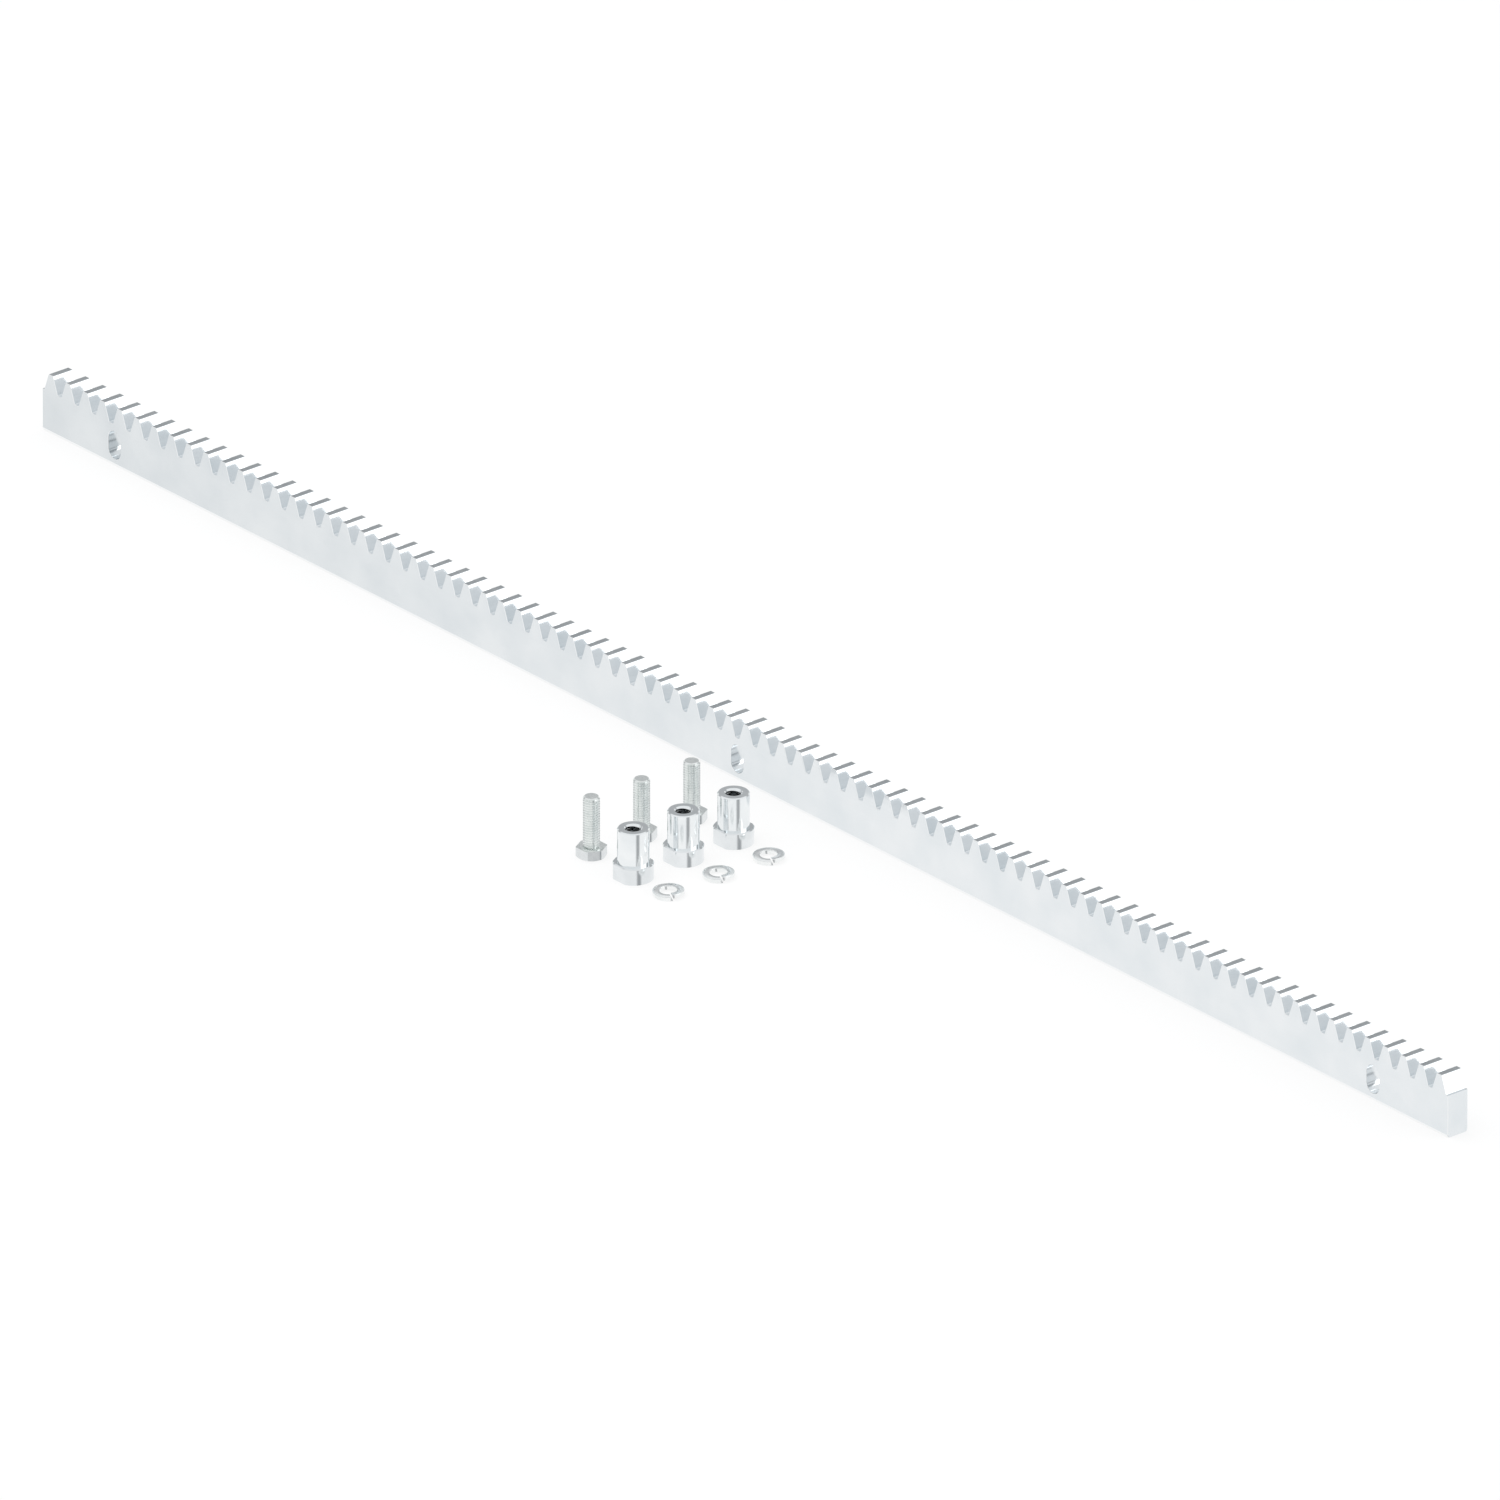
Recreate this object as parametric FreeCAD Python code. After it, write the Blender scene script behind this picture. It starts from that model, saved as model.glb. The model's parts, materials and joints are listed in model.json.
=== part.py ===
import FreeCAD, Part
import math
import os

# Steel gear rack for a sliding gate, laid out with its three sets of fixings.
# Millimetres. X runs along the rack, Y from front to back and Z up.
# The origin is the middle of the rack's underside.

# Rack: a flat bar with teeth cut across its upper edge, sawn off in a tooth gap at each end
rack_length = 1005.0
module = 4.0
pressure_angle = 20.0
addendum_in_modules = 1.0
dedendum_in_modules = 1.2
root_bevel = 0.5
end_gap_loss = 0.5
web_height = 21.2
bar_thickness = 12.0
bar_edge_radius = 1.5

# Upright slots through the web, which let the rack be set to height on its bolts
slot_count = 3
slot_end_distance = 52.5
slot_height = 14.0
slot_clearance = 1.0

# Thread shared by the bolts, the standoffs, the washers and the slots
thread_diameter = 8.0
thread_pitch = 1.25

# Hex bolt, threaded up to its head
bolt_length = 25.0
bolt_head_height = 5.3
bolt_head_shoulder = 2.5

# Standoff: a hex foot turned down to a round neck, drilled and tapped right through
standoff_foot_height = 8.0
standoff_neck_height = 17.0
standoff_neck_wall = 3.5
standoff_foot_shoulder = 1.0
standoff_neck_break = 0.5
standoff_mouth_margin = 0.3

# Spring washer: one turn of flat wire, cut on a slant and sprung apart
washer_clearance = 0.1
washer_wire_width = 3.35
washer_wire_thickness = 2.0
washer_rise = 0.9
washer_gap_angle = 6.0
washer_gap_direction = -25.0
washer_cut_slant = 20.0

# Corner bevel of the hexagons, as turned on bar stock
hex_sides = 6
hex_bevel_angle = 30.0
hex_bevel_inset = 0.3

# How far a cutting shape runs past what it cuts
cut_overrun = 1.0

# Where the fixings stand in front of the rack
set_count = 3
set_spacing = 30.0
last_row_distance = 50.0
bolt_column = 20.0
bolt_to_standoff = 30.0
standoff_to_washer = 25.0

# Sizes that follow from the ones above
pitch = math.pi * module
tooth_count = math.floor((rack_length + 2 * end_gap_loss) / pitch)
pitch_line = web_height + dedendum_in_modules * module
rack_height = pitch_line + addendum_in_modules * module
slot_width = thread_diameter + slot_clearance
thread_depth = 0.6134 * thread_pitch
bore_diameter = thread_diameter - 1.0825 * thread_pitch
bolt_head_flats = thread_diameter + 2 * bolt_head_shoulder
standoff_neck_diameter = thread_diameter + 2 * standoff_neck_wall
standoff_foot_flats = standoff_neck_diameter + 2 * standoff_foot_shoulder
standoff_height = standoff_foot_height + standoff_neck_height
standoff_column = bolt_column + bolt_to_standoff
washer_inner_radius = (thread_diameter + washer_clearance) / 2
washer_outer_radius = washer_inner_radius + washer_wire_width
washer_middle_radius = washer_inner_radius + washer_wire_width / 2
washer_column = standoff_column + standoff_to_washer

RIGHT = FreeCAD.Vector(1, 0, 0)
BACKWARD = FreeCAD.Vector(0, 1, 0)
UP = FreeCAD.Vector(0, 0, 1)
CENTRE = FreeCAD.Vector(0, 0, 0)


def point(x, z):
    """A point of an upright outline, in the plane of the rack's middle."""
    return FreeCAD.Vector(x, 0, z)


def filled(points):
    """The flat face inside a closed run of straight lines."""
    return Part.Face(Part.makePolygon(points + points[:1]))


def half_tooth(height):
    """Half a tooth's thickness at a height above the underside, a quarter pitch on the pitch line."""
    slope = math.tan(math.radians(pressure_angle))
    return pitch / 4 - (height - pitch_line) * slope


def tooth_outline(centre_x):
    """Corners over one tooth from left to right, with both feet bevelled into the gap's floor."""
    root = web_height
    foot = root + root_bevel
    half = [
        (half_tooth(root) + root_bevel, root),
        (half_tooth(foot), foot),
        (half_tooth(rack_height), rack_height),
    ]
    left = [point(centre_x - reach, z) for reach, z in half]
    right = [point(centre_x + reach, z) for reach, z in reversed(half)]
    return left + right


def make_rack():
    """The toothed outline carried through the bar's thickness, with its slots cut out."""
    end = rack_length / 2
    outline = [point(-end, 0), point(-end, web_height)]
    for number in range(tooth_count):
        outline += tooth_outline((number - (tooth_count - 1) / 2) * pitch)
    outline += [point(end, web_height), point(end, 0)]
    face = filled(outline)
    face.translate(BACKWARD * (-bar_thickness / 2))
    bar = face.extrude(BACKWARD * bar_thickness)
    under_edges = [
        edge
        for edge in bar.Edges
        if edge.BoundBox.ZMax < bar_edge_radius and edge.BoundBox.XLength > rack_length / 2
    ]
    bar = bar.makeFillet(bar_edge_radius, under_edges)
    return bar.cut(make_slots()).removeSplitter()


def slot_positions():
    """Places of the slots along the rack, evenly spaced between the two end distances."""
    first = -rack_length / 2 + slot_end_distance
    spacing = -2 * first / (slot_count - 1)
    return [first + number * spacing for number in range(slot_count)]


def make_slots():
    """Upright slots with round ends, long enough to pass through the bar."""
    radius = slot_width / 2
    middle_z = web_height / 2
    straight = slot_height / 2 - radius
    cutters = []
    for x in slot_positions():
        low = middle_z - straight
        high = middle_z + straight
        outline = Part.Wire(
            [
                Part.makeLine(point(x - radius, low), point(x - radius, high)),
                Part.Arc(
                    point(x - radius, high), point(x, high + radius), point(x + radius, high)
                ).toShape(),
                Part.makeLine(point(x + radius, high), point(x + radius, low)),
                Part.Arc(
                    point(x + radius, low), point(x, low - radius), point(x - radius, low)
                ).toShape(),
            ]
        )
        reach = bar_thickness / 2 + cut_overrun
        outline.translate(BACKWARD * -reach)
        cutters.append(Part.Face(outline).extrude(BACKWARD * (2 * reach)))
    return cutters


def revolved(profile):
    """A turned body from an outline of (radius, height) points, closed along its axis."""
    return filled([point(radius, height) for radius, height in profile]).revolve(CENTRE, UP, 360)


def hex_bar(flats, height, bevel_low, bevel_high):
    """A hexagon prism with flats at front and back, its corners turned off at the ends asked for."""
    corner = flats / 2 / math.cos(math.pi / hex_sides)
    points = []
    for number in range(hex_sides):
        angle = 2 * math.pi * number / hex_sides
        points.append(FreeCAD.Vector(corner * math.cos(angle), corner * math.sin(angle), 0))
    prism = filled(points).extrude(UP * height)
    inner = flats / 2 - hex_bevel_inset
    outer = corner + cut_overrun
    drop = (outer - inner) * math.tan(math.radians(hex_bevel_angle))
    outline = [(0, 0)]
    outline += [(inner, 0), (outer, drop)] if bevel_low else [(outer, 0)]
    outline += [(outer, height - drop), (inner, height)] if bevel_high else [(outer, height)]
    outline += [(0, height)]
    return prism.common(revolved(outline))


def make_bolt():
    """A hex bolt standing on its head, with a bevelled end to its shank."""
    shank = thread_diameter / 2
    top = bolt_head_height + bolt_length
    head = hex_bar(bolt_head_flats, bolt_head_height, True, False)
    stem = revolved(
        [
            (0, 0),
            (shank, 0),
            (shank, top - thread_depth),
            (shank - thread_depth, top),
            (0, top),
        ]
    )
    return head.fuse(stem).removeSplitter()


def make_standoff():
    """A hex foot and a round neck in one piece, with a hole bevelled where the bolt goes in."""
    neck = standoff_neck_diameter / 2
    bore = bore_diameter / 2
    mouth = thread_diameter / 2 + standoff_mouth_margin
    top = standoff_height
    foot = hex_bar(standoff_foot_flats, standoff_foot_height, False, True)
    body = revolved(
        [
            (0, 0),
            (neck, 0),
            (neck, top - standoff_neck_break),
            (neck - standoff_neck_break, top),
            (0, top),
        ]
    )
    hole = revolved([(0, 0), (bore, 0), (bore, top - (mouth - bore)), (mouth, top), (0, top)])
    return foot.fuse(body).removeSplitter().cut(hole)


def coil_half(side):
    """Half a turn of wire, swung round an axis that leans over, so that its far end is off level.

    The near end is the wire's section opposite the slit. The far end is sawn off on a slant
    beside the slit, and lies low for side 1 and high for side -1.
    """
    half_thickness = washer_wire_thickness / 2
    section = filled(
        [
            point(-washer_inner_radius, -half_thickness),
            point(-washer_outer_radius, -half_thickness),
            point(-washer_outer_radius, half_thickness),
            point(-washer_inner_radius, half_thickness),
        ]
    )
    lean = math.degrees(math.asin(washer_rise / 2 / washer_middle_radius)) / 2
    axis = FreeCAD.Rotation(BACKWARD, side * lean).multVec(UP)
    wire = section.revolve(CENTRE, axis, side * (180 + 2 * washer_gap_angle))
    saw_width = washer_middle_radius * math.radians(washer_gap_angle)
    waste = Part.makeBox(2 * washer_outer_radius, washer_outer_radius, 2 * washer_outer_radius)
    waste.translate(FreeCAD.Vector(0, -washer_outer_radius / 2, -washer_outer_radius))
    waste.translate(BACKWARD * (side * (washer_outer_radius - saw_width) / 2))
    waste.rotate(CENTRE, RIGHT, washer_cut_slant)
    return wire.cut(waste)


def make_washer():
    """Two half turns of wire that meet opposite the slit, one sinking and one climbing to it."""
    washer = coil_half(1).fuse(coil_half(-1)).removeSplitter()
    washer.rotate(CENTRE, UP, washer_gap_direction)
    washer.translate(UP * -washer.optimalBoundingBox().ZMin)
    return washer


def save(name, shape):
    """Writes one piece under its node's name."""
    shape.exportStep(os.path.join("parts", name + ".step"))


os.makedirs("parts", exist_ok=True)
save("gear_rack", make_rack())
columns = {
    "hex_bolt": (make_bolt(), bolt_column),
    "standoff": (make_standoff(), standoff_column),
    "spring_washer": (make_washer(), washer_column),
}
for number in range(set_count):
    row_y = -last_row_distance - (set_count - 1 - number) * set_spacing
    for name, (shape, column_x) in columns.items():
        placed = shape.copy()
        placed.translate(FreeCAD.Vector(column_x, row_y, 0))
        save(name + "_" + str(number + 1), placed)
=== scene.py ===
import json
import math

import bmesh
import bpy
import numpy as np
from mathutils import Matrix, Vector
from mathutils.geometry import tessellate_polygon


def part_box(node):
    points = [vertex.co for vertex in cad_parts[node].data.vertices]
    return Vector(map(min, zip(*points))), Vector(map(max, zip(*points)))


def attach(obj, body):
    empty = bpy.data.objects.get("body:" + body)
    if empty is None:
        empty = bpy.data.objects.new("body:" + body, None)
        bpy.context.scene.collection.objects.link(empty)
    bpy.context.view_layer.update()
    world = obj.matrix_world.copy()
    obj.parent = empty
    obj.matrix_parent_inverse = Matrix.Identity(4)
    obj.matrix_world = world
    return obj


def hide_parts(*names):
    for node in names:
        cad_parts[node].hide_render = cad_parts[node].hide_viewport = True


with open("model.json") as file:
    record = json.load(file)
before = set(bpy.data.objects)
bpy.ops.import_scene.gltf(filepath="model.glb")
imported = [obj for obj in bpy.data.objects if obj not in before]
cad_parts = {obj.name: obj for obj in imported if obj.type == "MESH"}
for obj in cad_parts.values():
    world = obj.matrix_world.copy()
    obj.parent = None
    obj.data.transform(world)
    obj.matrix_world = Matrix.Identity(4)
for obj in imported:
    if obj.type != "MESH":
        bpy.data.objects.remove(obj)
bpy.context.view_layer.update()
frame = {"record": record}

# Gear rack: one flat bar of drawn mild steel, with teeth milled across its upper edge and three
# upright slots pierced through the web. It is sawn to length, brushed until every sharp edge has a
# small round that catches the light, and hung in a bath to be plated with bright zinc.
MM = 0.001
RACK_TEETH = 80
RACK_MODULE_MM = 4.0
RACK_PRESSURE_DEG = 20.0
RACK_ROOT_MM = 21.2
RACK_PITCH_LINE_MM = 26.0
RACK_ROOT_FILLET_MM = 0.5
RACK_TIP_ROUND_MM = 0.4
RACK_BROKEN_EDGE_MM = 0.25
RACK_UNDERSIDE_ROUND_MM = 1.5
RACK_SLOTS_MM = (-450.0, 0.0, 450.0)
RACK_SLOT_SIZE_MM = (9.0, 14.0)
RACK_SLOT_MIDDLE_MM = 10.6
RACK_BRIGHT = "#ECEFF1"
RACK_DULL = "#E3E8EB"
# Painted shade: duller greys that darken the rack towards its left end.
RACK_PAINTED_SHADE_LEFT_BRIGHT = "#E2E6E8"
RACK_PAINTED_SHADE_LEFT_DULL = "#D8DDE0"
RACK_PAINTED_SHADE_FROM_SHARE = 0.25
RACK_RUBBED = "#F4F6F7"
# Painted shade: darker greys on the tops of the teeth.
RACK_PAINTED_SHADE_TIP_BRIGHT = "#D2D6D8"
RACK_PAINTED_SHADE_TIP_DULL = "#C5CACD"
RACK_CLOUD_MM = 22.0
RACK_DIE_LINES_MM = (90.0, 1.1, 1.1)
RACK_CUTTER_LINES_MM = (0.8, 60.0, 0.8)
RACK_SAW_LINES_MM = (0.9, 0.9, 50.0)
RACK_RELIEF_MM = 0.004
RACK_DRAWN_GLOSS = (0.10, 0.17)
RACK_MILLED_GLOSS = (0.11, 0.19)
RACK_SAWN_GLOSS = (0.14, 0.24)
RACK_TIP_GLOSS = (0.13, 0.21)
RACK_RUBBED_GLOSS = 0.08
RACK_FACE_FADE_MM = 0.01
RACK_FADE_MM = (0.1, 0.02)
RACK_TIP_STEPS = 5
RACK_FILLET_STEPS = 7
RACK_SLOT_STEPS = 49
RACK_EDGE_STEPS = 10
RACK_CURVE_DEG = 4.5
MERGE_MM = 0.0005
NOISE_SPAN = (0.3, 0.7)
CLOUD_DETAIL = 3.0
LINES_DETAIL = 2.0

rack_end, rack_side, rack_tip = np.array(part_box("gear_rack")[1]) / MM


def arc(x, z, radius, start_deg, end_deg, count):
    """Points of a circle from one angle to another, measured from X towards Z."""
    angle = np.radians(np.linspace(start_deg, end_deg, count))
    return np.stack([x + radius * np.cos(angle), z + radius * np.sin(angle)], axis=-1)


def tooth_outline():
    """One tooth from left to right: fillet, flank, tip round, and the same mirrored.

    A flank leans by the pressure angle and stands a quarter pitch from the tooth's middle on the
    pitch line. Each round's centre keeps its radius from the flank and from the tip or the root.
    """
    lean = math.radians(RACK_PRESSURE_DEG)
    quarter = math.pi * RACK_MODULE_MM / 4
    tip_z = rack_tip - RACK_TIP_ROUND_MM
    root_z = RACK_ROOT_MM + RACK_ROOT_FILLET_MM
    tip_rise = (tip_z - RACK_PITCH_LINE_MM) * math.sin(lean)
    root_rise = (root_z - RACK_PITCH_LINE_MM) * math.sin(lean)
    tip_x = quarter - (tip_rise + RACK_TIP_ROUND_MM) / math.cos(lean)
    root_x = quarter - (root_rise - RACK_ROOT_FILLET_MM) / math.cos(lean)
    tip_round = arc(tip_x, tip_z, RACK_TIP_ROUND_MM, 90, RACK_PRESSURE_DEG, RACK_TIP_STEPS)
    fillet_start = 180 + RACK_PRESSURE_DEG
    fillet = arc(root_x, root_z, RACK_ROOT_FILLET_MM, fillet_start, 270, RACK_FILLET_STEPS)
    right = np.concatenate([tip_round, fillet])
    return np.concatenate([right[::-1] * (-1, 1), right])


def rack_outline():
    """The rack seen from the front: up its left end, over all the teeth, and down its right end."""
    middles = (np.arange(RACK_TEETH) - (RACK_TEETH - 1) / 2) * math.pi * RACK_MODULE_MM
    teeth = tooth_outline()[None] + np.stack([middles, np.zeros(RACK_TEETH)], axis=-1)[:, None]
    above_round = RACK_UNDERSIDE_ROUND_MM + RACK_BROKEN_EDGE_MM
    left = [[-rack_end, above_round], [-rack_end, RACK_ROOT_MM]]
    right = [[rack_end, RACK_ROOT_MM], [rack_end, above_round], [rack_end, 0], [-rack_end, 0]]
    return np.concatenate([left, teeth.reshape(-1, 2), right])


def slot_outline(x):
    """An upright slot seen from the front: two half circles joined by straight sides."""
    radius = RACK_SLOT_SIZE_MM[0] / 2
    straight = RACK_SLOT_SIZE_MM[1] / 2 - radius
    upper = arc(x, RACK_SLOT_MIDDLE_MM + straight, radius, 0, 180, RACK_SLOT_STEPS)
    lower = arc(x, RACK_SLOT_MIDDLE_MM - straight, radius, 180, 360, RACK_SLOT_STEPS)
    return np.concatenate([upper, lower])


def carried_across(outline, underside):
    """Walls made by carrying an outline from the bar's front to its back, with both edges broken.

    At each step of the edge's quarter circle a point lies one minus the sine of the angle inside
    the outline, and one minus the cosine behind the face. The last points given as the underside
    have a larger round, upwards only. The steel lies on the right hand of the outline.
    """
    ahead = np.roll(outline, -1, axis=0) - outline
    ahead /= np.linalg.norm(ahead, axis=1, keepdims=True)
    inward = np.stack([ahead[:, 1], -ahead[:, 0]], axis=-1)
    before = np.roll(inward, 1, axis=0)
    corner = (inward + before) / (1 + np.sum(inward * before, axis=1, keepdims=True))
    inset = corner * RACK_BROKEN_EDGE_MM
    depth = np.full(len(outline), RACK_BROKEN_EDGE_MM)
    first = len(outline) - underside
    inset[first:, 1] = RACK_UNDERSIDE_ROUND_MM
    depth[first:] = RACK_UNDERSIDE_ROUND_MM
    angle = np.radians(np.linspace(0, 90, RACK_EDGE_STEPS))[:, None]
    x = outline[:, 0] + (1 - np.sin(angle)) * inset[:, 0]
    z = outline[:, 1] + (1 - np.sin(angle)) * inset[:, 1]
    y = rack_side - (1 - np.cos(angle)) * depth
    half = np.stack([x, -y, z], axis=-1)
    walls = np.concatenate([half, half[::-1] * (1, -1, 1)])
    return np.concatenate([walls, walls[:, :1]], axis=1)


def grid_faces(points, first):
    """Quads between the neighbours of a grid of points that are numbered from the first on."""
    index = first + np.arange(points.shape[0] * points.shape[1]).reshape(points.shape[:2])
    quads = np.stack([index[:-1, :-1], index[:-1, 1:], index[1:, 1:], index[1:, :-1]], axis=-1)
    return quads.reshape(-1, 4)


def closed_mesh(name, points, faces, place, curve_deg):
    """A mesh of points in mm moved to its place, with double points merged and faces outwards.

    Faces that meet at less than the given angle are shaded as one curve.
    """
    mesh = bpy.data.meshes.new(name)
    mesh.from_pydata(points.reshape(-1, 3) * MM + np.array(place), [], faces)
    work = bmesh.new()
    work.from_mesh(mesh)
    bmesh.ops.remove_doubles(work, verts=work.verts, dist=MERGE_MM * MM)
    bmesh.ops.dissolve_degenerate(work, edges=work.edges, dist=MERGE_MM * MM)
    bmesh.ops.recalc_face_normals(work, faces=work.faces)
    work.to_mesh(mesh)
    work.free()
    mesh.shade_smooth()
    mesh.set_sharp_from_angle(angle=math.radians(curve_deg))
    return mesh


def rack_mesh(name):
    """The outline and the slots carried across, and the two flat faces filled in between them."""
    walls = [carried_across(rack_outline(), underside=2)]
    walls += [carried_across(slot_outline(x), underside=0) for x in RACK_SLOTS_MM]
    firsts = np.cumsum([0] + [wall.shape[0] * wall.shape[1] for wall in walls])
    quads = np.concatenate([grid_faces(wall, first) for wall, first in zip(walls, firsts)])
    rim = [first + np.arange(wall.shape[1] - 1) for wall, first in zip(walls, firsts)]
    far_rim = [edge + (wall.shape[0] - 1) * wall.shape[1] for wall, edge in zip(walls, rim)]
    flat = np.array(tessellate_polygon([wall[0, :-1][:, [0, 2, 1]] * (1, 1, 0) for wall in walls]))
    flats = np.concatenate([np.concatenate(rim)[flat], np.concatenate(far_rim)[flat]])
    points = np.concatenate([wall.reshape(-1, 3) for wall in walls])
    return closed_mesh(name, points, quads.tolist() + flats.tolist(), (0, 0, 0), RACK_CURVE_DEG)


def show(name, mesh, material, body, node):
    """Puts a new piece in the scene with its material, in place of its solid and on its body."""
    mesh.materials.append(material)
    piece = bpy.data.objects.new(name, mesh)
    bpy.context.scene.collection.objects.link(piece)
    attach(piece, body)
    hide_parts(node)


def linear(hex_colour):
    """An sRGB hex value as linear red, green, blue and alpha, each channel decoded by the sRGB curve."""
    channels = np.array([int(hex_colour[at : at + 2], 16) for at in (1, 3, 5)]) / 255
    decoded = np.where(channels > 0.04045, ((channels + 0.055) / 1.055) ** 2.4, channels / 12.92)
    return (*decoded.tolist(), 1.0)


def add_node(tree, kind, inputs, **settings):
    """Adds one node, applies its settings, and gives each input a value or links it to a socket."""
    new = tree.nodes.new(kind)
    for name, value in settings.items():
        setattr(new, name, value)
    for name, value in inputs.items():
        if isinstance(value, bpy.types.NodeSocket):
            tree.links.new(value, new.inputs[name])
        else:
            new.inputs[name].default_value = value
    return new


def new_finish(name):
    """An empty material of that name, its node tree, and the place on the piece that patterns follow."""
    material = bpy.data.materials.new(name)
    material.use_nodes = True
    tree = material.node_tree
    tree.nodes.clear()
    return material, tree, add_node(tree, "ShaderNodeTexCoord", {}).outputs["Object"]


def zinc_plate(tree, place, bright, dull, cloud_mm, lines_mm, gloss):
    """Bright zinc plate over one kind of worked steel, as its tone, roughness and relief.

    The tone drifts between two greys in soft clouds, as thick and thin plate does. The tool lines
    under the plate, given by their sizes along X, Y and Z, vary the gloss and ripple the surface.
    Clouds and lines are noises, read over the span that most of their values fill.
    """
    clouds = add_node(
        tree,
        "ShaderNodeTexNoise",
        {"Vector": place, "Scale": 1 / (cloud_mm * MM), "Detail": CLOUD_DETAIL},
    )
    low, high = NOISE_SPAN
    thickness = add_node(
        tree, "ShaderNodeMapRange", {"Value": clouds.outputs["Fac"], "From Min": low, "From Max": high}
    )
    tone = add_node(
        tree,
        "ShaderNodeMix",
        {0: thickness.outputs["Result"], 6: linear(bright), 7: linear(dull)},
        data_type="RGBA",
    )
    stretched = add_node(
        tree, "ShaderNodeMapping", {"Vector": place, "Scale": [1 / (size * MM) for size in lines_mm]}
    )
    lines = add_node(
        tree,
        "ShaderNodeTexNoise",
        {"Vector": stretched.outputs["Vector"], "Scale": 1.0, "Detail": LINES_DETAIL},
    ).outputs["Fac"]
    roughness = add_node(
        tree,
        "ShaderNodeMapRange",
        {"Value": lines, "From Min": low, "From Max": high, "To Min": gloss[0], "To Max": gloss[1]},
    )
    return tone.outputs[2], roughness.outputs["Result"], lines


def side_by_side(tree, share, first, second):
    """Two finishes on one piece: tone, roughness and relief each go over by the second one's share."""
    tone = add_node(tree, "ShaderNodeMix", {0: share, 6: first[0], 7: second[0]}, data_type="RGBA")
    gloss = add_node(tree, "ShaderNodeMix", {0: share, 2: first[1], 3: second[1]})
    relief = add_node(tree, "ShaderNodeMix", {0: share, 2: first[2], 3: second[2]})
    return tone.outputs[2], gloss.outputs[0], relief.outputs[0]


def bare_metal(tree, finish, relief_mm):
    """Closes a material as metal, with its tool lines as a ripple of the height given."""
    tone, roughness, relief = finish
    ripple = add_node(
        tree, "ShaderNodeBump", {"Height": relief, "Strength": 1.0, "Distance": relief_mm * MM}
    )
    shader = add_node(
        tree,
        "ShaderNodeBsdfPrincipled",
        {"Base Color": tone, "Metallic": 1.0, "Roughness": roughness, "Normal": ripple.outputs["Normal"]},
    )
    add_node(tree, "ShaderNodeOutputMaterial", {"Surface": shader.outputs["BSDF"]})


# Drawn steel under zinc: pale and smooth, with die lines along the faces, cutter lines across the
# teeth and saw lines up the ends, all drawn coarser than their real tenth of a millimetre so that
# they show. A duller grey is painted towards the left end as painted shade, and a darker grey on the
# tops of the teeth as painted shade. The plate is brightest along the rubbed edges.
drawn_zinc, tree, place = new_finish("zinc_plated_drawn_steel")
drawn = zinc_plate(
    tree, place, RACK_BRIGHT, RACK_DULL, RACK_CLOUD_MM, RACK_DIE_LINES_MM, RACK_DRAWN_GLOSS
)
# Painted shade towards the left end, in the duller greys.
painted_left_shade = zinc_plate(
    tree, place, RACK_PAINTED_SHADE_LEFT_BRIGHT, RACK_PAINTED_SHADE_LEFT_DULL, RACK_CLOUD_MM, RACK_DIE_LINES_MM, RACK_DRAWN_GLOSS
)
milled = zinc_plate(
    tree, place, RACK_BRIGHT, RACK_DULL, RACK_CLOUD_MM, RACK_CUTTER_LINES_MM, RACK_MILLED_GLOSS
)
sawn = zinc_plate(
    tree, place, RACK_BRIGHT, RACK_DULL, RACK_CLOUD_MM, RACK_SAW_LINES_MM, RACK_SAWN_GLOSS
)
# Painted shade on the tops of the teeth, in the darker greys.
painted_shade_tips = zinc_plate(
    tree, place, RACK_PAINTED_SHADE_TIP_BRIGHT, RACK_PAINTED_SHADE_TIP_DULL, RACK_CLOUD_MM, RACK_DIE_LINES_MM, RACK_TIP_GLOSS
)
rubbed = (linear(RACK_RUBBED), RACK_RUBBED_GLOSS, milled[2])
fade_start, fade_end = RACK_FADE_MM
from_middle = add_node(tree, "ShaderNodeVectorMath", {0: place}, operation="ABSOLUTE").outputs["Vector"]
along, across, height = add_node(tree, "ShaderNodeSeparateXYZ", {"Vector": from_middle}).outputs
off_faces = add_node(
    tree,
    "ShaderNodeMapRange",
    {"Value": across, "From Min": rack_side * MM, "From Max": (rack_side - RACK_FACE_FADE_MM) * MM},
).outputs["Result"]
above_root = add_node(
    tree,
    "ShaderNodeMapRange",
    {"Value": height, "From Min": (RACK_ROOT_MM - fade_start) * MM, "From Max": RACK_ROOT_MM * MM},
).outputs["Result"]
# Share of the painted shade on the tops of the teeth.
on_tip = add_node(
    tree,
    "ShaderNodeMapRange",
    {"Value": height, "From Min": (rack_tip - fade_start) * MM, "From Max": (rack_tip - fade_end) * MM},
).outputs["Result"]
near_edge = add_node(
    tree,
    "ShaderNodeMapRange",
    {
        "Value": across,
        "From Min": (rack_side - 2 * RACK_BROKEN_EDGE_MM) * MM,
        "From Max": (rack_side - RACK_BROKEN_EDGE_MM) * MM,
    },
).outputs["Result"]
in_teeth = add_node(tree, "ShaderNodeMath", {0: above_root, 1: off_faces}, operation="MULTIPLY").outputs[0]
on_edge = add_node(tree, "ShaderNodeMath", {0: near_edge, 1: off_faces}, operation="MULTIPLY").outputs[0]
on_end = add_node(
    tree,
    "ShaderNodeMapRange",
    {"Value": along, "From Min": (rack_end - fade_start) * MM, "From Max": (rack_end - fade_end) * MM},
).outputs["Result"]
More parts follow.
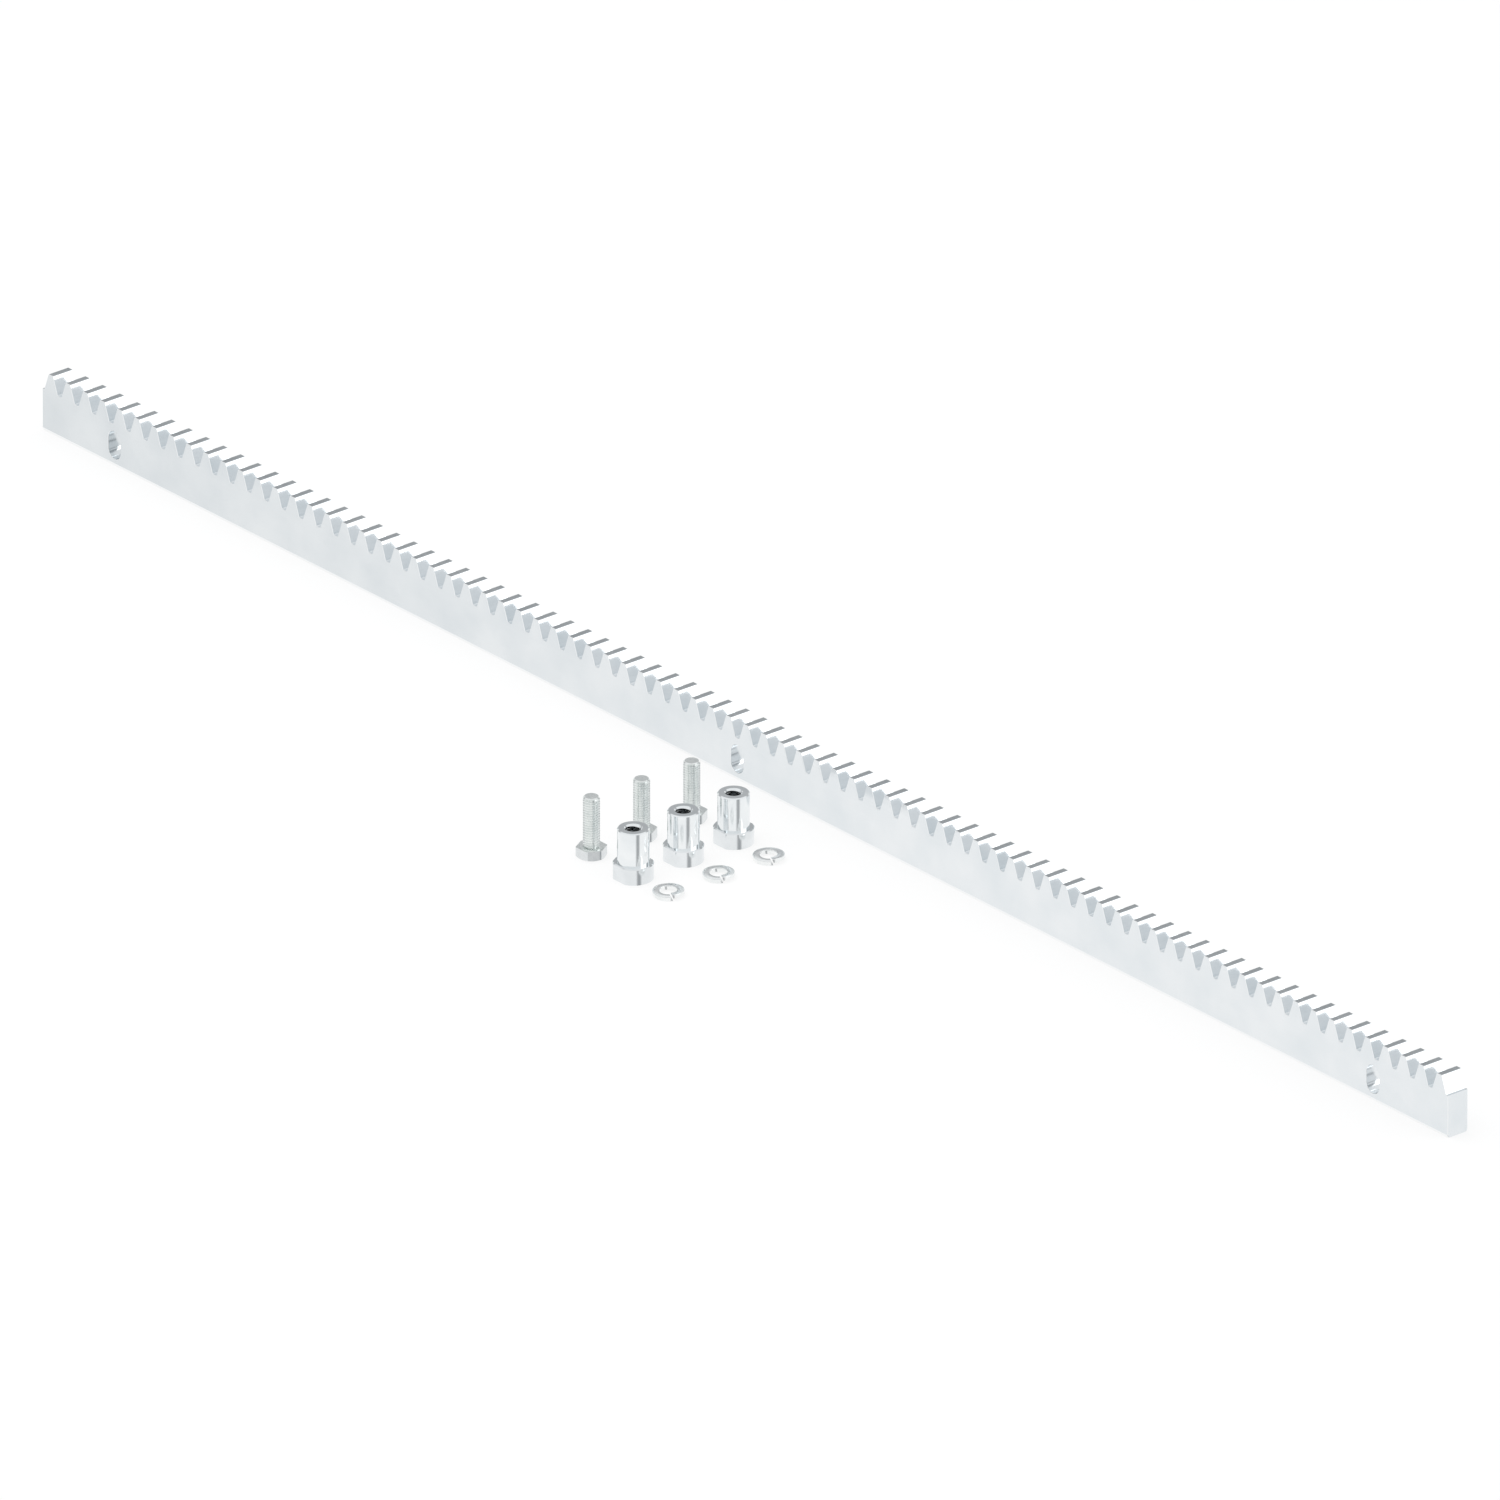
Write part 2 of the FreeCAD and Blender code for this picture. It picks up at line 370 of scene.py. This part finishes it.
# Share of the painted shade towards the left end: none right of the middle, all of it at the left end.
towards_left = add_node(
    tree,
    "ShaderNodeMapRange",
    {
        "Value": add_node(tree, "ShaderNodeSeparateXYZ", {"Vector": place}).outputs["X"],
        "From Min": RACK_PAINTED_SHADE_FROM_SHARE * rack_end * MM,
        "From Max": -rack_end * MM,
    },
).outputs["Result"]
finish = side_by_side(tree, towards_left, drawn, painted_left_shade)
finish = side_by_side(tree, in_teeth, finish, milled)
finish = side_by_side(tree, on_tip, finish, painted_shade_tips)
finish = side_by_side(tree, on_end, finish, sawn)
finish = side_by_side(tree, on_edge, finish, rubbed)
bare_metal(tree, finish, RACK_RELIEF_MM)
show("toothed_rack", rack_mesh("toothed_rack"), drawn_zinc, "rack", "gear_rack")

# Standoffs: round steel bar turned down to a neck above a wide flange, drilled and tapped M8 right
# through. Each flange has two flats for a spanner and is welded or bolted to the gate, and the neck's
# end carries the rack.
STANDOFF_FLANGE_MM = 19.0
STANDOFF_FLATS_MM = 17.0
STANDOFF_LEDGE_MM = 8.0
STANDOFF_NECK_MM = 15.0
STANDOFF_HEIGHT_MM = 25.0
STANDOFF_BREAK_MM = 0.5
THREAD_MM = 8.0
PITCH_MM = 1.25
THREAD_SLOPE = math.sqrt(3)
HOLE_CREST_SHARE = 0.125
HOLE_DEPTH_SHARE = 0.5413
MOUTH_MM = 8.6
AROUND = 96
TURNED_CURVE_DEG = 24.0
NECK_BRIGHT = "#F2F5F6"
NECK_DULL = "#E9EDEF"
FLANGE_BRIGHT = "#EBEEF0"
FLANGE_DULL = "#E1E5E7"
STANDOFF_CLOUD_MM = 9.0
STANDOFF_FEED_LINES_MM = (40.0, 40.0, 0.5)
STANDOFF_RELIEF_MM = 0.006
STANDOFF_GLOSS = (0.09, 0.15)
SEAM_FADE_MM = 0.05

turn = np.linspace(0, 2 * math.pi, AROUND + 1)[None, :]


def ring(radius, height):
    """One row of a turned surface: the same or a varying radius and height all the way round."""
    return np.stack(np.broadcast_arrays(radius, height, turn)[:2])


def thread_rows(low, high, crest_share, depth_share):
    """Heights of the rows that follow a thread, each climbing one pitch per turn between two ends.

    Within a pitch the rows stand where the outline bends: at the edge of a crest's flat, and where a
    flank ends, its depth divided by its slope further on. Both are given as shares of the pitch.
    Rows that start below the lower end climb past it on their way round, and all are held between
    the two ends.
    """
    root_share = crest_share + depth_share / THREAD_SLOPE
    bends = np.array([crest_share, root_share, 1 - root_share, 1 - crest_share])
    pitches = np.arange(math.floor(low / PITCH_MM) - 2, math.ceil(high / PITCH_MM) + 1)
    starts = (pitches[:, None] + bends[None, :]).reshape(-1, 1) * PITCH_MM
    return np.clip(starts + PITCH_MM * turn / (2 * math.pi), low, high)


def from_crest(height):
    """Distance along the axis from the middle of the nearest crest of the thread."""
    phase = height / PITCH_MM - turn / (2 * math.pi)
    return np.abs(phase - np.round(phase)) * PITCH_MM


def turned_mesh(name, rows, place):
    """A surface of rows that go round an axis, each row an array of radii and heights in mm.

    A point is (radius times cosine, radius times sine, height), moved to its place. Neighbouring
    points make quads, and merging those that fall together closes the seam, the poles and the thread.
    """
    radius, height = np.concatenate(rows, axis=1)
    points = np.stack([radius * np.cos(turn), radius * np.sin(turn), height], axis=-1)
    return closed_mesh(name, points, grid_faces(points, 0), place, TURNED_CURVE_DEG)


def standoff_mesh(name, place):
    """The closed outline of a standoff carried round its axis.

    It runs out under the flange, up its side and in along its ledge, up the neck, across the top,
    and down the tapped hole, where the radius grows from the crest flat along 60 degree flanks. The
    flange's radius is held in at front and back to half the width over flats divided by the sine.
    """
    round_below = STANDOFF_FLATS_MM / STANDOFF_FLANGE_MM
    flange = STANDOFF_FLATS_MM / 2 / np.maximum(np.abs(np.sin(turn)), round_below)
    ledge = STANDOFF_LEDGE_MM
    neck = STANDOFF_NECK_MM / 2
    top = STANDOFF_HEIGHT_MM
    crest = THREAD_MM / 2 - HOLE_DEPTH_SHARE * PITCH_MM
    down = thread_rows(0, top, HOLE_CREST_SHARE, HOLE_DEPTH_SHARE)[::-1]
    flank = (from_crest(down) - HOLE_CREST_SHARE * PITCH_MM) * THREAD_SLOPE
    hole = crest + np.clip(flank, 0, THREAD_MM / 2 - crest)
    hole = np.maximum(hole, MOUTH_MM / 2 - (top - down))
    rows = [
        np.stack([hole[-1:], down[-1:]]),
        ring(flange, 0.0),
        ring(flange, ledge - STANDOFF_BREAK_MM),
        ring(flange - STANDOFF_BREAK_MM, ledge),
        ring(neck, ledge),
        ring(neck, top - STANDOFF_BREAK_MM),
        ring(neck - STANDOFF_BREAK_MM, top),
        ring(MOUTH_MM / 2, top),
        np.stack([hole, down]),
    ]
    return turned_mesh(name, rows, place)


def middle(node):
    """Place on the floor of a piece's own axis, from the box of its solid."""
    low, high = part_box(node)
    return ((low[0] + high[0]) / 2, (low[1] + high[1]) / 2, 0.0)


def share_below(tree, place, height_mm):
    """Share of a finish that ends at a height: one below it and none above."""
    height = add_node(tree, "ShaderNodeSeparateXYZ", {"Vector": place}).outputs["Z"]
    return add_node(
        tree,
        "ShaderNodeMapRange",
        {
            "Value": height,
            "From Min": (height_mm + SEAM_FADE_MM) * MM,
            "From Max": (height_mm - SEAM_FADE_MM) * MM,
        },
    ).outputs["Result"]


# Turned steel under zinc: the brightest metal of the set, which mirrors the room in upright streaks,
# with the flange a shade greyer than the neck. Fine feed lines ring both, drawn coarser than their
# real tenth of a millimetre so that they show.
turned_zinc, tree, place = new_finish("zinc_plated_turned_steel")
neck = zinc_plate(
    tree, place, NECK_BRIGHT, NECK_DULL, STANDOFF_CLOUD_MM, STANDOFF_FEED_LINES_MM, STANDOFF_GLOSS
)
flange = zinc_plate(
    tree, place, FLANGE_BRIGHT, FLANGE_DULL, STANDOFF_CLOUD_MM, STANDOFF_FEED_LINES_MM, STANDOFF_GLOSS
)
finish = side_by_side(tree, share_below(tree, place, STANDOFF_LEDGE_MM), neck, flange)
bare_metal(tree, finish, STANDOFF_RELIEF_MM)
for number in (1, 2, 3):
    node = f"standoff_{number}"
    name = f"tapped_standoff_{number}"
    mesh = standoff_mesh(name, middle(node))
    show(name, mesh, turned_zinc, f"standoff_{number}", node)

# Spring washers: one turn of flat spring steel wire, cut off on a slant and sprung apart, so that
# the two ends stand at different heights. It is hardened, tumbled and then zinc plated.
WASHER_INNER_MM = 8.1
WASHER_WIRE_MM = (3.35, 2.0)
WASHER_EDGE_MM = 0.25
WASHER_RISE_MM = 0.9
WASHER_SAW_MM = 0.6
WASHER_SLANT_DEG = 20.0
WASHER_SLIT_DEG = -25.0
WASHER_STEPS = 60
WASHER_BRIGHT = "#F8F9F9"
WASHER_DULL = "#EEF1F1"
WASHER_CLOUD_MM = 4.0
WASHER_TUMBLED_MM = (1.2, 1.2, 1.2)
WASHER_RELIEF_MM = 0.003
WASHER_GLOSS = (0.13, 0.20)
WASHER_EDGE_STEPS = 5
WASHER_CURVE_DEG = 24.0


def wire_section():
    """Outline of the wire round its middle: a rectangle whose corners are quarter circles."""
    quarter = np.radians(np.linspace(0, 90, WASHER_EDGE_STEPS))
    angles = np.concatenate([quarter + math.radians(90 * side) for side in range(4)])
    across = WASHER_WIRE_MM[0] / 2 - WASHER_EDGE_MM
    upright = WASHER_WIRE_MM[1] / 2 - WASHER_EDGE_MM
    corner_x = np.repeat([across, -across, -across, across], WASHER_EDGE_STEPS)
    corner_z = np.repeat([upright, upright, -upright, -upright], WASHER_EDGE_STEPS)
    x = corner_x + WASHER_EDGE_MM * np.cos(angles)
    z = corner_z + WASHER_EDGE_MM * np.sin(angles)
    return np.append(x, x[0]), np.append(z, z[0])


def half_coil(side):
    """Half a turn of the wire's section about an axis that leans to one side.

    A point opposite the slit is turned about the axis by Rodrigues' formula. The turn stops where
    the point meets the slanted saw cut, and the last row gathers the end face to its middle.
    """
    across, height = wire_section()
    radius = WASHER_INNER_MM / 2 + WASHER_WIRE_MM[0] / 2
    lean = side * math.asin(WASHER_RISE_MM / 2 / radius) / 2
    axis = np.array([math.sin(lean), 0.0, math.cos(lean)])
    start = np.stack([-(radius + across), np.zeros_like(across), height], axis=-1)
    reach = -start[:, 0]
    slant = math.radians(WASHER_SLANT_DEG)
    end_height = height - reach * math.sin(2 * lean)
    end_side = (-side * WASHER_SAW_MM / 2 - end_height * math.sin(slant)) / math.cos(slant)
    whole = math.pi + side * np.arcsin(end_side / reach)
    angle = side * np.linspace(0, 1, WASHER_STEPS)[:, None, None] * whole[None, :, None]
    along = (start @ axis)[None, :, None] * axis
    swung = start * np.cos(angle) + np.cross(axis, start) * np.sin(angle) + along * (1 - np.cos(angle))
    end_face = np.broadcast_to(swung[-1, :-1].mean(axis=0), swung[-1:].shape)
    return np.concatenate([swung, end_face])


def washer_mesh(name, place):
    """Two half coils that share the section opposite the slit, turned to the slit's direction."""
    points = np.concatenate([half_coil(1)[::-1], half_coil(-1)[1:]])
    slit = math.radians(WASHER_SLIT_DEG)
    spin = np.array(
        [[math.cos(slit), math.sin(slit), 0], [-math.sin(slit), math.cos(slit), 0], [0, 0, 1]]
    )
    points = points @ spin
    points[..., 2] -= points[..., 2].min()
    return closed_mesh(name, points, grid_faces(points, 0), place, WASHER_CURVE_DEG)


# Spring steel under zinc: pale and satin with faint dimples from tumbling, so that the ring's top
# takes an even grey from the far wall while its sides stay nearly white.
spring_zinc, tree, place = new_finish("zinc_plated_spring_steel")
finish = zinc_plate(
    tree, place, WASHER_BRIGHT, WASHER_DULL, WASHER_CLOUD_MM, WASHER_TUMBLED_MM, WASHER_GLOSS
)
bare_metal(tree, finish, WASHER_RELIEF_MM)
holes = {hole["name"]: hole["box_m"] for hole in frame["record"]["physics"]["openings"]}
for number in (1, 2, 3):
    low, high = np.array(holes[f"washer_hole_{number}"])
    name = f"sprung_washer_{number}"
    mesh = washer_mesh(name, (*((low + high) / 2)[:2], 0.0))
    show(name, mesh, spring_zinc, f"washer_{number}", f"spring_washer_{number}")

# Hex bolts: cold headed steel with an M8 thread rolled right up to the head, stood on their heads.
# They pass through the rack's slots into the standoffs, and a turned ring under the head bears on the
# washer.
BOLT_FLATS_MM = 13.0
BOLT_HEAD_MM = 5.3
BOLT_BEARING_MM = (11.6, 0.3)
BOLT_SEAT_EDGE_MM = 0.1
BOLT_LENGTH_MM = 25.0
BOLT_CREST_SHARE = 0.0625
BOLT_DEPTH_SHARE = 0.6134
HEX_BEVEL_DEG = 30.0
HEX_BEVEL_INSET_MM = 0.3
HEX_CORNER_ROUNDING_MM = 0.15
SHANK_BRIGHT = "#F0F3F2"
SHANK_DULL = "#E6EAE9"
# Painted shade: greyer tones for the sides of the head.
HEAD_PAINTED_SHADE_BRIGHT = "#E4E7E8"
HEAD_PAINTED_SHADE_DULL = "#D7DBDD"
BOLT_CLOUD_MM = 5.0
BOLT_ROLLED_MM = (1.5, 1.5, 1.5)
BOLT_RELIEF_MM = 0.006
SHANK_GLOSS = (0.20, 0.28)
HEAD_GLOSS = (0.14, 0.22)


def hexagon(flats):
    """Radius of a hexagon bar round its axis.

    It is half the width over flats divided by the cosine of the angle from the middle of the nearest
    flat, and the corners are held in by a small rounding.
    """
    from_flat = np.mod(turn, math.pi / 3) - math.pi / 6
    corner = flats / 2 / math.cos(math.pi / 6)
    return np.minimum(flats / 2 / np.cos(from_flat), corner - HEX_CORNER_ROUNDING_MM)


def hex_bevel(radius, flats):
    """Depth of the cone turned on a hexagon's end: it starts inside the flats and falls outwards."""
    return (radius - flats / 2 + HEX_BEVEL_INSET_MM) * math.tan(math.radians(HEX_BEVEL_DEG))


def bolt_mesh(name, place):
    """The outline of a bolt carried round its axis from the middle of its head to its tip.

    The hexagon's lower corners are bevelled, the bearing ring stands on the head, and the shank's
    radius falls from each crest flat along 60 degree flanks to the root, held inside the tip's cone.
    """
    head = hexagon(BOLT_FLATS_MM)
    seat = BOLT_HEAD_MM
    tip = BOLT_HEAD_MM + BOLT_LENGTH_MM
    depth = BOLT_DEPTH_SHARE * PITCH_MM
    up = thread_rows(seat, tip, BOLT_CREST_SHARE, BOLT_DEPTH_SHARE)
    flank = (from_crest(up) - BOLT_CREST_SHARE * PITCH_MM) * THREAD_SLOPE
    shank = THREAD_MM / 2 - np.clip(flank, 0, depth)
    shank = np.minimum(shank, THREAD_MM / 2 - depth + (tip - up))
    rows = [
        ring(0.0, 0.0),
        ring(BOLT_FLATS_MM / 2 - HEX_BEVEL_INSET_MM, 0.0),
        ring(head, hex_bevel(head, BOLT_FLATS_MM)),
        ring(head, seat - BOLT_BEARING_MM[1]),
        ring(BOLT_BEARING_MM[0] / 2, seat - BOLT_BEARING_MM[1]),
        ring(BOLT_BEARING_MM[0] / 2, seat),
        np.stack([shank, up]),
        ring(0.0, tip),
    ]
    return turned_mesh(name, rows, place)


# Cold formed steel under zinc: the rolled thread and the seat under the head come pale and soft from
# their dies, and the sides of the head are glossier. Their greyer tone is painted shade.
rolled_zinc, tree, place = new_finish("zinc_plated_cold_formed_steel")
shank_zinc = zinc_plate(tree, place, SHANK_BRIGHT, SHANK_DULL, BOLT_CLOUD_MM, BOLT_ROLLED_MM, SHANK_GLOSS)
# Painted shade on the head, in the greyer tones.
painted_shade_head_zinc = zinc_plate(tree, place, HEAD_PAINTED_SHADE_BRIGHT, HEAD_PAINTED_SHADE_DULL, BOLT_CLOUD_MM, BOLT_ROLLED_MM, HEAD_GLOSS)
below_seat = share_below(tree, place, BOLT_HEAD_MM - BOLT_BEARING_MM[1] - BOLT_SEAT_EDGE_MM)
finish = side_by_side(tree, below_seat, shank_zinc, painted_shade_head_zinc)
bare_metal(tree, finish, BOLT_RELIEF_MM)
for number in (1, 2, 3):
    node = f"hex_bolt_{number}"
    name = f"threaded_bolt_{number}"
    show(name, bolt_mesh(name, middle(node)), rolled_zinc, f"bolt_{number}", node)

# Floor: a plain white studio sweep that the pieces stand on. To the eye it glows an even white, and
# its matt share still takes the soft shadows of the pieces. The metal mirrors the room in its place,
# whose lower half is the same white, so that no dark contact edges creep up the pieces.
FLOOR_SIZE_M = 8.0
FLOOR_WHITE = "#FFFFFF"
FLOOR_MATT = "#F4F4F4"
FLOOR_GLOW_SHARE = 0.8

half_floor = FLOOR_SIZE_M / 2
corners = np.array([[-1, -1, 0], [1, -1, 0], [1, 1, 0], [-1, 1, 0]]) * half_floor
floor_mesh = bpy.data.meshes.new("studio_floor")
floor_mesh.from_pydata(corners, [], np.array([[0, 1, 2, 3]]))
floor = bpy.data.objects.new("studio_floor", floor_mesh)
bpy.context.scene.collection.objects.link(floor)
floor.visible_glossy = False

sweep_paper = bpy.data.materials.new("white_sweep_paper")
sweep_paper.use_nodes = True
tree = sweep_paper.node_tree
tree.nodes.clear()
rays = add_node(tree, "ShaderNodeLightPath", {}).outputs
share = add_node(
    tree, "ShaderNodeMath", {0: rays["Is Camera Ray"], 1: FLOOR_GLOW_SHARE}, operation="MULTIPLY"
)
matt = add_node(tree, "ShaderNodeBsdfDiffuse", {"Color": linear(FLOOR_MATT)})
glow = add_node(tree, "ShaderNodeEmission", {"Color": linear(FLOOR_WHITE), "Strength": 1.0})
paper = add_node(
    tree,
    "ShaderNodeMixShader",
    {0: share.outputs[0], 1: matt.outputs["BSDF"], 2: glow.outputs["Emission"]},
)
add_node(tree, "ShaderNodeOutputMaterial", {"Surface": paper.outputs["Shader"]})
floor_mesh.materials.append(sweep_paper)

# Room: white walls with a grey band round them, lower on the near side, a grey patch on the ceiling
# and one grey screen to the right. Flanks and threads mirror the white, the tops of the teeth, washers
# and necks the band, or the patch when seen from above, and the screen draws the streak on each neck.
NEAR_TONES = (
    (0.0, "#FFFFFF"),
    (0.15, "#FFFFFF"),
    (0.21, "#B2B4B6"),
    (0.3, "#B2B4B6"),
    (0.36, "#FFFFFF"),
    (0.92, "#F4F5F6"),
    (0.98, "#A9ACAE"),
    (1.0, "#A4A7A9"),
)
FAR_TONES = (
    (0.0, "#FFFFFF"),
    (0.22, "#FFFFFF"),
    (0.36, "#B2B4B6"),
    (0.48, "#B2B4B6"),
    (0.58, "#F4F5F6"),
    (0.92, "#F4F5F6"),
    (0.98, "#A9ACAE"),
    (1.0, "#A4A7A9"),
)
FAR_AZIMUTH_DEG = 140.0
FAR_EDGES_DEG = (105.0, 75.0)
SCREEN_AZIMUTH_DEG = -8.0
SCREEN_EDGES_DEG = (16.0, 5.0)
SCREEN_TOP = (0.2, 0.1)
SCREEN_GREY = "#ACAEB0"

world = bpy.data.worlds.new("studio_room")
bpy.context.scene.world = world
world.use_nodes = True
tree = world.node_tree
tree.nodes.clear()
direction = add_node(tree, "ShaderNodeTexCoord", {}).outputs["Generated"]
height = add_node(tree, "ShaderNodeSeparateXYZ", {"Vector": direction}).outputs["Z"]
level = add_node(
    tree, "ShaderNodeVectorMath", {0: direction, 1: (1.0, 1.0, 0.0)}, operation="MULTIPLY"
).outputs["Vector"]
level = add_node(tree, "ShaderNodeVectorMath", {0: level}, operation="NORMALIZE").outputs["Vector"]


def share_towards(azimuth_deg, edges_deg):
    """Share of the room round an azimuth: none beyond the outer edge's angle, and one inside the inner."""
    angle = math.radians(azimuth_deg)
    facing = add_node(
        tree,
        "ShaderNodeVectorMath",
        {0: level, 1: (math.cos(angle), math.sin(angle), 0.0)},
        operation="DOT_PRODUCT",
    )
    outer, inner = np.cos(np.radians(edges_deg)).tolist()
    return add_node(
        tree, "ShaderNodeMapRange", {"Value": facing.outputs["Value"], "From Min": outer, "From Max": inner}
    ).outputs["Result"]


def tones_by_height(tones):
    """Colours of a wall from the horizon to the zenith, placed by the sine of the elevation."""
    ramp = add_node(tree, "ShaderNodeValToRGB", {"Fac": height})
    while len(ramp.color_ramp.elements) < len(tones):
        ramp.color_ramp.elements.new(0.5)
    for element, (at, colour) in zip(ramp.color_ramp.elements, tones):
        element.position = at
        element.color = linear(colour)
    return ramp.outputs["Color"]


walls = add_node(
    tree,
    "ShaderNodeMix",
    {
        0: share_towards(FAR_AZIMUTH_DEG, FAR_EDGES_DEG),
        6: tones_by_height(NEAR_TONES),
        7: tones_by_height(FAR_TONES),
    },
    data_type="RGBA",
)
below_top = add_node(
    tree, "ShaderNodeMapRange", {"Value": height, "From Min": SCREEN_TOP[0], "From Max": SCREEN_TOP[1]}
)
behind_screen = add_node(
    tree,
    "ShaderNodeMath",
    {0: share_towards(SCREEN_AZIMUTH_DEG, SCREEN_EDGES_DEG), 1: below_top.outputs["Result"]},
    operation="MULTIPLY",
)
room = add_node(
    tree,
    "ShaderNodeMix",
    {0: behind_screen.outputs[0], 6: walls.outputs[2], 7: linear(SCREEN_GREY)},
    data_type="RGBA",
).outputs[2]
background = add_node(tree, "ShaderNodeBackground", {"Color": room, "Strength": 1.0})
add_node(tree, "ShaderNodeOutputWorld", {"Surface": background.outputs["Background"]})

# Lamps: two wide soft boxes. One hangs high over the set and lights the floor, but the metal mirrors
# the ceiling in its place. The other stands on the floor beyond the rack's right end, where the right
# flanks of the teeth and the slots mirror it as white.
HIGH_BOX_M = (-0.6, -0.5, 2.2)
HIGH_BOX_SIZE_M = (2.4, 2.4)
HIGH_BOX_WATTS = 26.0
SIDE_BOX_M = (2.05, 1.6, 0.95)
SIDE_BOX_SIZE_M = (2.4, 1.9)
SIDE_BOX_WATTS = 15.5


def soft_box(name, place, aim, size, watts):
    """A flat lamp of width and height in metres that stands at a place and faces the aim."""
    data = bpy.data.lights.new(name, "AREA")
    data.shape = "RECTANGLE"
    data.size, data.size_y = size
    data.energy = watts
    lamp = bpy.data.objects.new(name, data)
    lamp.location = place
    lamp.rotation_mode = "QUATERNION"
    lamp.rotation_quaternion = (Vector(place) - Vector(aim)).to_track_quat("Z", "Y")
    bpy.context.scene.collection.objects.link(lamp)
    return lamp


high_box = soft_box("high_soft_box", HIGH_BOX_M, (0, 0, 0), HIGH_BOX_SIZE_M, HIGH_BOX_WATTS)
high_box.visible_glossy = False
soft_box("side_soft_box", SIDE_BOX_M, (0, 0, SIDE_BOX_M[2]), SIDE_BOX_SIZE_M, SIDE_BOX_WATTS)

# Camera: the photograph is nearly a parallel view from the front right, 25 degrees above the floor,
# so a very long lens stands far back and frames about 690 mm of width at the rack's middle.
VIEW_AZIMUTH_DEG = 50.0
VIEW_ELEVATION_DEG = 25.0
VIEW_WIDTH_M = 0.6896
VIEW_AIM_M = (0.00094, 0.00095, 0.01344)
LENS_MM = 1600.0
SENSOR_MM = 36.0
FAR_CLIP_M = 100.0

azimuth = math.radians(VIEW_AZIMUTH_DEG)
elevation = math.radians(VIEW_ELEVATION_DEG)
back = Vector(
    (
        math.sin(azimuth) * math.cos(elevation),
        -math.cos(azimuth) * math.cos(elevation),
        math.sin(elevation),
    )
)
camera_data = bpy.data.cameras.new("camera")
camera_data.lens = LENS_MM
camera_data.sensor_width = SENSOR_MM
camera_data.clip_end = FAR_CLIP_M
camera = bpy.data.objects.new("camera", camera_data)
camera.location = Vector(VIEW_AIM_M) + back * (VIEW_WIDTH_M * LENS_MM / SENSOR_MM)
camera.rotation_mode = "QUATERNION"
camera.rotation_quaternion = back.to_track_quat("Z", "Y")
bpy.context.scene.collection.objects.link(camera)
bpy.context.scene.camera = camera

bpy.context.scene.view_settings.view_transform = "Standard"
